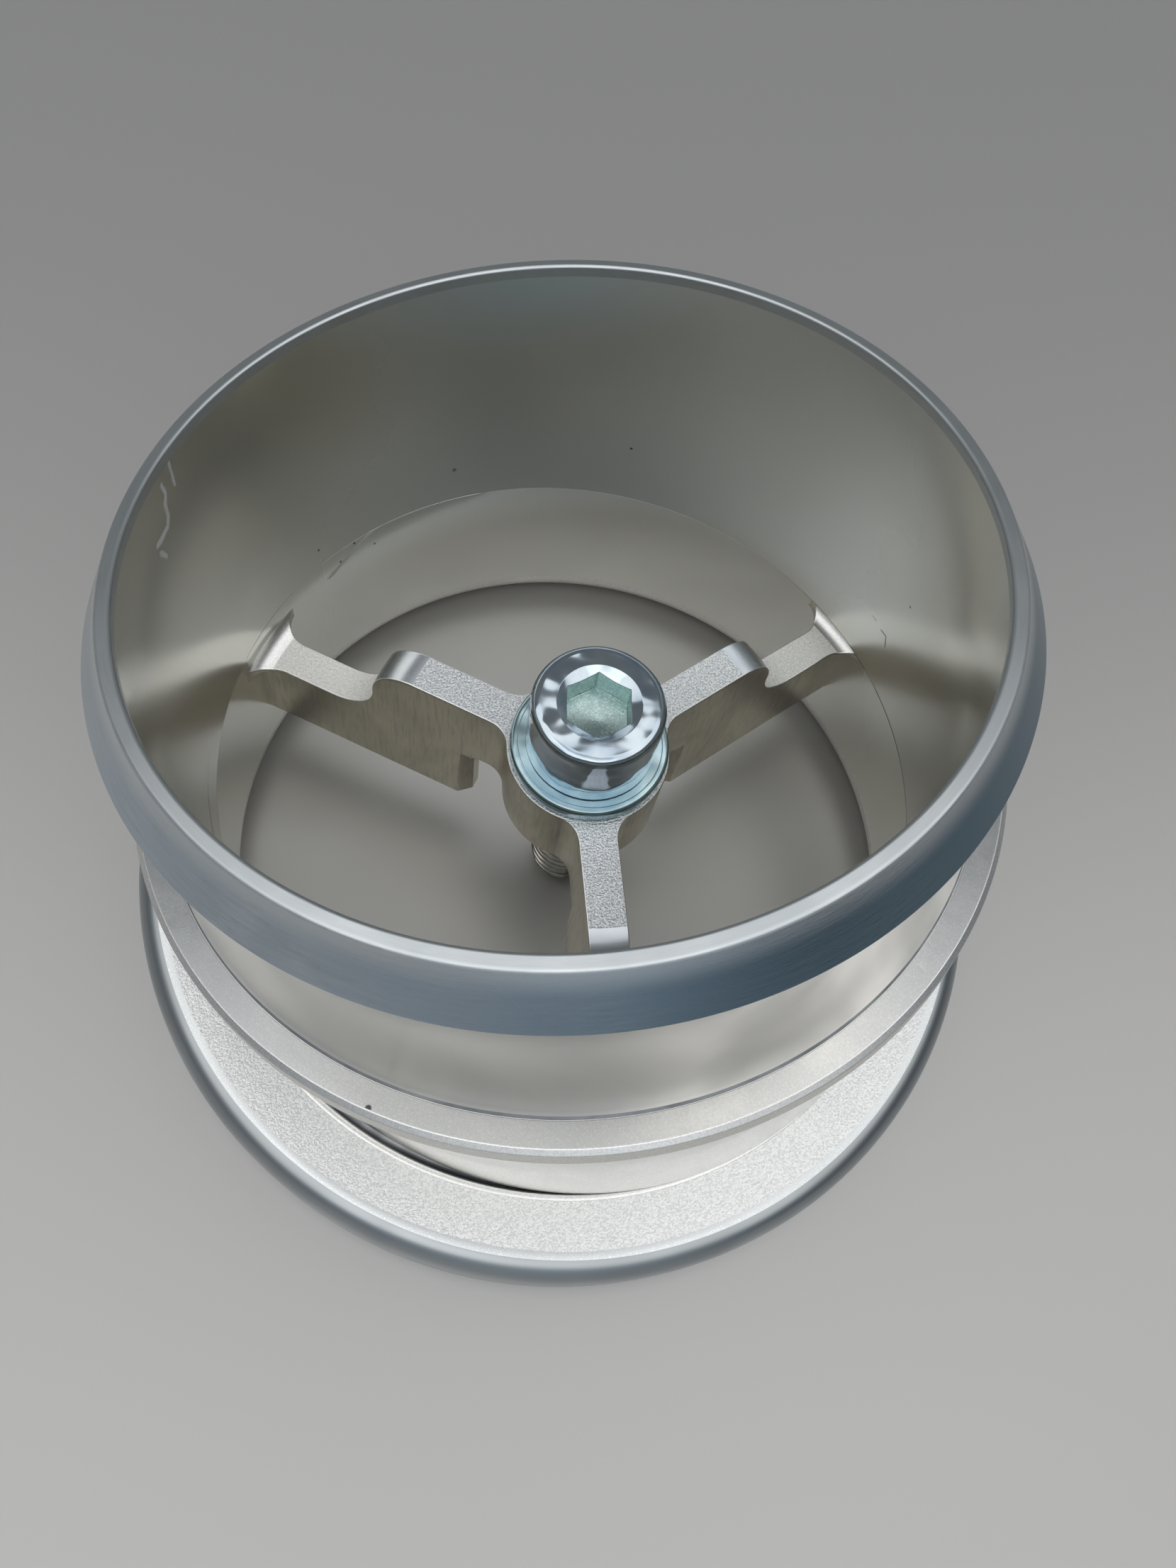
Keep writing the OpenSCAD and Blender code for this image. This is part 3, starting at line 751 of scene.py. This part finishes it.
def half_section():
    """Across and up along the right half of every section, from the middle of the top to the middle below.

    The ledge is a quarter of an ellipse: across goes from the bar's half width to the
    leg's by t, and up falls from the roof by 1 - sqrt(1 - t ** 2). Under the hub there is no
    leg, and its points lie pinched together on the roof."""
    one = np.ones(len(stations))[:, None]
    under_hub = (stations < LEG_START)[:, None]
    top, half = tops[:, None], widths[:, None]
    leg, low = leg_half[:, None], leg_floor[:, None]
    roof = np.where(under_hub, low, np.where(leg < half - 0.01, ROOF - 0.5, 15.0))
    fall = np.where(under_hub, 0.0, np.minimum(half - leg, 1.0) + 0.05)
    worn = np.where(under_hub, 0.0, EDGE)
    foot = low + worn
    ledge_up = roof - fall * (1 - np.sqrt(1 - ledge**2))
    pinch = np.where(under_hub, 0.02, 0.0)
    across = [one * [[0.0]], (half - EDGE) * [[0.6, 0.97]], half - EDGE + EDGE * np.sin(quarter), half * np.ones(4),
              leg + (half - leg) * (1 - ledge), leg - pinch * [[1, 2, 3, 4]],
              leg - worn - pinch * [[5, 6, 7, 8]] + worn * np.cos(quarter), (leg - EDGE) * [[0.7, 0.4]], one * [[0.0]]]
    up = [top, top * np.ones(2), top - EDGE + EDGE * np.cos(quarter), roof + (top - EDGE - roof) * half_side,
          ledge_up, foot + (ledge_up[:, -1:] - foot) * half_side, foot - worn * np.sin(quarter),
          low * np.ones(2), low]
    return np.concatenate([np.broadcast_to(a, (len(stations), a.shape[1])) for a in across], 1), np.concatenate(
        [np.broadcast_to(a, (len(stations), a.shape[1])) for a in up], 1)


right_across, right_up = half_section()
across = np.concatenate([right_across, -right_across[:, -2:0:-1]], 1)
up = np.concatenate([right_up, right_up[:, -2:0:-1]], 1)
print("points round an arm:", across.shape[1])

# %% The three arms
ARM_HEADING = 35.6


def arm_points(heading):
    """Sections of an arm, turned to its heading. Along is whatever keeps a point's distance from the axis."""
    along = np.sqrt(stations[:, None] ** 2 - across**2)
    c, s = math.cos(heading), math.sin(heading)
    return np.stack([along * c - across * s, along * s + across * c, up], -1)


flat_top = (np.arange(across.shape[1]) < 6) | (np.arange(across.shape[1]) > across.shape[1] - 6)
by_station = np.select([stations < 18.9, stations < 24.2, stations < 36.2], [ARM_TOP, NOSE, MILLED], BRIGHT)
arm_finish = np.where(flat_top[None, :], by_station[:, None], SIDE)
edge_faces = np.isin(np.minimum(np.arange(across.shape[1]), across.shape[1] - 1 - np.arange(across.shape[1])), (3, 4))
arm_finish = np.where(edge_faces[None, :], BRIGHT, arm_finish)
for number in range(3):
    arm_name = f"arm_{number + 1}"
    spoke = grid_mesh(arm_name, arm_points(math.radians(ARM_HEADING + 120 * number)), arm_finish, FINISHES, False)
    show(arm_name, spoke, "body", "body")

# %% [markdown]
# ## Hub, washer and screw
#
# These are small turned parts. The hub and the washer are rings, so their
# profiles close on themselves. The screw's head is round outside and has six
# sides inside: its radius is a formula of the heading, so the same kind of
# grid makes both.

# %% Hub
round_angles = np.linspace(0, 2 * math.pi, 128, endpoint=False)
hub_path = rounded_path([(6.0, 20.3), (HUB_R, 20.3), (HUB_R, HUB_TOP), (4.05, HUB_TOP), (4.05, 20.3), (5.9, 20.3)],
                        [0, 0.12, 0.12, 0.2, 0.2, 0])
hub_finish = np.where(hub_path[:, 1] > HUB_TOP - 0.02, ARM_TOP, SIDE)
show("hub", grid_mesh("hub", foot_points(hub_path[:, :1], hub_path[:, 1:], round_angles), hub_finish, FINISHES),
     "body", "body")


# %% [markdown]
# Screw and washer are steel plated with zinc, with a bluish passivation. The
# plating is smooth and mirrors the room, and what gives it away as a forged
# and plated face is that the mirror image is bent a little. The washer is
# duller, the socket dull and stained, and the thread below is bare.

# %% Zinc plating and bare steel
plating = Metal("zinc_plate", (0.66, 0.74, 0.80), 0.09)
plating.clouds(260.0, (0.46, 0.55, 0.65), 0.04)
plating.scratches(900.0, (0.86, 0.92, 0.94), 0.35, 0.01)

def slow_waves(metal, scale, depth):
    """The orange peel of a plated or forged face: a slow, shallow bump that bends what it mirrors."""
    metal.dent(noise(metal.tree, metal.here, scale, 1.0, 0.4), 1.0, depth)


slow_waves(plating, 330.0, 0.00022)

washer_plate = Metal("washer_plate", (0.54, 0.69, 0.74), 0.15)
washer_plate.clouds(230.0, (0.30, 0.44, 0.50), 0.06)
slow_waves(washer_plate, 240.0, 0.00020)

bare_steel = Metal("thread_steel", (0.78, 0.75, 0.71), 0.13)
bare_steel.clouds(400.0, (0.30, 0.28, 0.27), 0.08)

socket_plate = Metal("socket_plate", (0.47, 0.62, 0.63), 0.24)
socket_plate.clouds(420.0, (0.36, 0.49, 0.48), 0.10)
socket_plate.grain(3200.0, (0.34, 0.44, 0.42), (0.62, 0.76, 0.74), 0.08, 0.00002)
socket_plate.specks(1500.0, (0.24, 0.22, 0.17), 0.26)
print("screw and washer:", plating.material.name, washer_plate.material.name, socket_plate.material.name)

# %% Washer
WASHER_TOP = HUB_TOP + 1.6
washer_path = rounded_path(
    [(6.0, HUB_TOP), (8.0, HUB_TOP), (8.0, WASHER_TOP), (7.3, WASHER_TOP), (7.25, WASHER_TOP - 0.04),
     (7.2, WASHER_TOP), (4.2, WASHER_TOP), (4.2, HUB_TOP), (5.9, HUB_TOP)],
    [0, 0.25, 0.45, 0.02, 0.02, 0.02, 0.2, 0.2, 0])
show("washer_ring", grid_mesh("washer_ring", foot_points(washer_path[:, :1], washer_path[:, 1:], round_angles),
                              0 * washer_path[:, 0].astype(int), [washer_plate.material]), "washer", "washer")

# %% Screw head with its six-sided socket
HEAD_TOP, SOCKET_FLAT, SOCKET_DEPTH = WASHER_TOP + 8.0, 3.05, 3.3
sector = np.array([0, 0.5, 1.5, 4, 9, 15, 22, 30, 38, 45, 51, 56, 58.5, 59.5])
head_angles = np.radians((np.arange(6)[:, None] * 60 + sector).ravel() + 30.0)
hexagon = SOCKET_FLAT / np.cos(((head_angles - math.pi / 6) % (math.pi / 3)) - math.pi / 6)
head_path = rounded_path(
    [(4.3, WASHER_TOP), (6.5, WASHER_TOP), (6.5, HEAD_TOP), (4.1, HEAD_TOP)], [0, 0.25, 0.9, 0], arc_steps=8)
round_rows = foot_points(head_path[:, :1], head_path[:, 1:], head_angles)
bevel_share = np.array([0.0, 0.06, 0.5, 0.94, 1.0])[:, None]
bevel_r = 4.1 + bevel_share * (hexagon - 4.1)
bevel_rows = foot_points(bevel_r, HEAD_TOP - (4.1 - bevel_r) * 0.62, head_angles)
wall_share = np.array([0.03, 0.5, 0.97, 1.0])[:, None]
mouth_h = HEAD_TOP - (4.1 - hexagon) * 0.62
wall_rows = foot_points(hexagon, mouth_h + wall_share * (HEAD_TOP - SOCKET_DEPTH - mouth_h), head_angles)
floor_share = np.array([0.98, 0.9, 0.6, 0.3, 0.05])[:, None]
floor_r = hexagon * floor_share
floor_rows = foot_points(floor_r, HEAD_TOP - SOCKET_DEPTH - 0.12 * (3.1 - np.minimum(floor_r, 3.1)), head_angles)
head_points = np.concatenate([round_rows, bevel_rows, wall_rows, floor_rows])
in_socket = (np.arange(len(head_points)) >= len(round_rows) + len(bevel_rows)).astype(int)
show("screw_head", grid_mesh("screw_head", head_points, in_socket, [plating.material, socket_plate.material], False),
     "screw", "screw")

# %% [markdown]
# ## The thread
#
# A thread is a cylinder whose radius depends on height and heading together:
# going once round lifts the pattern by one pitch. That one formula gives the
# whole helix, and the tip is the smaller of the thread and a cone.

# %% Screw shank with its thread
PITCH, THREAD_DEPTH, TIP = 1.25, 0.62, WASHER_TOP - 30.0


def thread_radius(height, angle):
    """Crest at 4 mm, root THREAD_DEPTH lower, flanks between, cut by the tip's cone."""
    phase = (height / PITCH - angle / (2 * math.pi)) % 1.0
    away = np.abs(phase - 0.5) * 2
    thread = 4.0 - THREAD_DEPTH * np.clip((away - 0.15) / 0.6, 0, 1)
    thread = np.where(height > 20.0, 3.9, thread)
    return np.minimum(thread, 3.0 + (height - TIP) * 1.0)


shank_angles = np.linspace(0, 2 * math.pi, 72, endpoint=False)
shank_h = np.concatenate([np.linspace(TIP, 20.4, 240), [26.0, WASHER_TOP + 0.3]])[:, None]
end_cap = foot_points(np.array([[0.4], [1.6], [2.8]]), TIP + 0.0 * shank_angles, shank_angles)
shank_points = np.concatenate([end_cap, foot_points(thread_radius(shank_h, shank_angles), shank_h, shank_angles)])
show("screw_shank", grid_mesh("screw_shank", shank_points, np.zeros(len(shank_points), int), [bare_steel.material], False),
     "screw", "screw")

# %% [markdown]
# ## Table, light and camera
#
# The part stands on a plain pale table with a satin sheen. Metal shows what is
# round it, so the sky matters more than the lamp. It is one big soft window
# overhead with a clear far edge, dim beyond it, and bluish low down, which is
# what the sloping band of the bead mirrors. The window is written as the
# slopes x/z and y/z of a direction, because a flat window is a rectangle in
# those. Its strength is near 1, so colours render about as they are written.

# %% Table
floor_mesh = bpy.data.meshes.new("table")
BELOW = -0.00004
floor_mesh.from_pydata([(-2, -2, BELOW), (2, -2, BELOW), (2, 2, BELOW), (-2, 2, BELOW)], [], [(0, 1, 2, 3)])
table = bpy.data.objects.new("table", floor_mesh)
bpy.context.scene.collection.objects.link(table)
paint = bpy.data.materials.new("table_top")
paint.use_nodes = True
paint_shader = paint.node_tree.nodes["Principled BSDF"]
paint_shader.inputs["Base Color"].default_value = (0.50, 0.495, 0.488, 1)
paint_shader.inputs["Metallic"].default_value = 0.55
paint_shader.inputs["Roughness"].default_value = 0.42
floor_mesh.materials.append(paint)
print("table: 4 m wide, roughness", round(paint_shader.inputs["Roughness"].default_value, 2))

# %% Sky
world = bpy.data.worlds.new("studio")
bpy.context.scene.world = world
world.use_nodes = True
sky = world.node_tree
towards = sky.nodes.new("ShaderNodeTexCoord").outputs["Generated"]
sky_x, sky_y, sky_z = node(sky, "SeparateXYZ", towards).node.outputs
height = maths(sky, "MAXIMUM", sky_z, 0.001)
over_x, over_y = maths(sky, "DIVIDE", sky_x, height), maths(sky, "DIVIDE", sky_y, height)
far_edge = spread(sky, over_y, 0.55, 0.505)
near_edge = spread(sky, over_y, -1.75, -1.15)
side_edge = spread(sky, maths(sky, "ABSOLUTE", over_x), 2.0, 1.2)
overhead = maths(sky, "MULTIPLY", maths(sky, "MULTIPLY", far_edge, near_edge), side_edge)
beside = maths(sky, "DIVIDE", maths(sky, "ADD", over_x, 0.02), 0.32)
before = maths(sky, "DIVIDE", maths(sky, "ADD", over_y, 0.20), 0.45)
spot = maths(sky, "ADD", maths(sky, "MULTIPLY", beside, beside), maths(sky, "MULTIPLY", before, before))
overhead = maths(sky, "MULTIPLY", overhead, spread(sky, spot, 0.1, 1.2, 0.5, 1.0))
facing = vectors(sky, "DOT_PRODUCT", towards, (math.cos(math.radians(-112)), math.sin(math.radians(-112)), 0.0))
low_light = blend(sky, spread(sky, facing, 0.2, 1.0), (0.06, 0.08, 0.10), (0.36, 0.42, 0.47))
side_light = blend(sky, spread(sky, sky_x, 0.2, -0.9), low_light, (0.16, 0.18, 0.20))
far_light = blend(sky, spread(sky, sky_y, -0.2, 0.5), side_light, (0.14, 0.15, 0.155))
light = blend(sky, overhead, far_light, (1.14, 1.15, 1.14))
sky.links.new(light, sky.nodes["Background"].inputs[0])
sky.nodes["Background"].inputs[1].default_value = 1.0
print("sky:", len(sky.nodes), "nodes")


# %% Lamps
def soft_lamp(name, place, size, power, colour):
    """A square lamp that looks at the part."""
    data = bpy.data.lights.new(name, "AREA")
    data.size, data.energy, data.color = size, power, colour
    lamp = bpy.data.objects.new(name, data)
    bpy.context.scene.collection.objects.link(lamp)
    lamp.location = place
    lamp.rotation_euler = (Vector((0, 0, 0.03)) - Vector(place)).to_track_quat("-Z", "Y").to_euler()
    return lamp


fill = soft_lamp("fill", (-0.05, -0.35, 0.5), 0.6, 0.4, (1.0, 1.0, 1.0))
print("lamp:", fill.name, fill.data.energy, "W")

# %% [markdown]
# ## Camera
#
# The place and turn of the camera come from the circles in the photograph: a
# circle seen at an angle is an ellipse, and the ellipses of the flange, the
# neck, the hub and the washer agree on one eye point, close above the part.

# %% Camera
EYE = (-0.01183, -0.05273, 0.13593)
RIGHT, UP, BACK = (0.99387, 0.0, 0.1106), (-0.04606, 0.90916, 0.41389), (-0.10055, -0.41645, 0.90358)
lens = bpy.data.cameras.new("camera")
lens.sensor_fit, lens.sensor_width, lens.lens = "AUTO", 36.0, 27.03
lens.clip_start = 0.005
camera = bpy.data.objects.new("camera", lens)
bpy.context.scene.collection.objects.link(camera)
turned_rows = [(*row, place) for row, place in zip(zip(RIGHT, UP, BACK), EYE)]
camera.matrix_world = Matrix(turned_rows + [(0.0, 0.0, 0.0, 1.0)])
bpy.context.scene.camera = camera
bpy.context.scene.view_settings.view_transform = "Standard"
print("camera at", [round(c, 4) for c in camera.matrix_world.translation])

# %% [markdown]
# ## Done
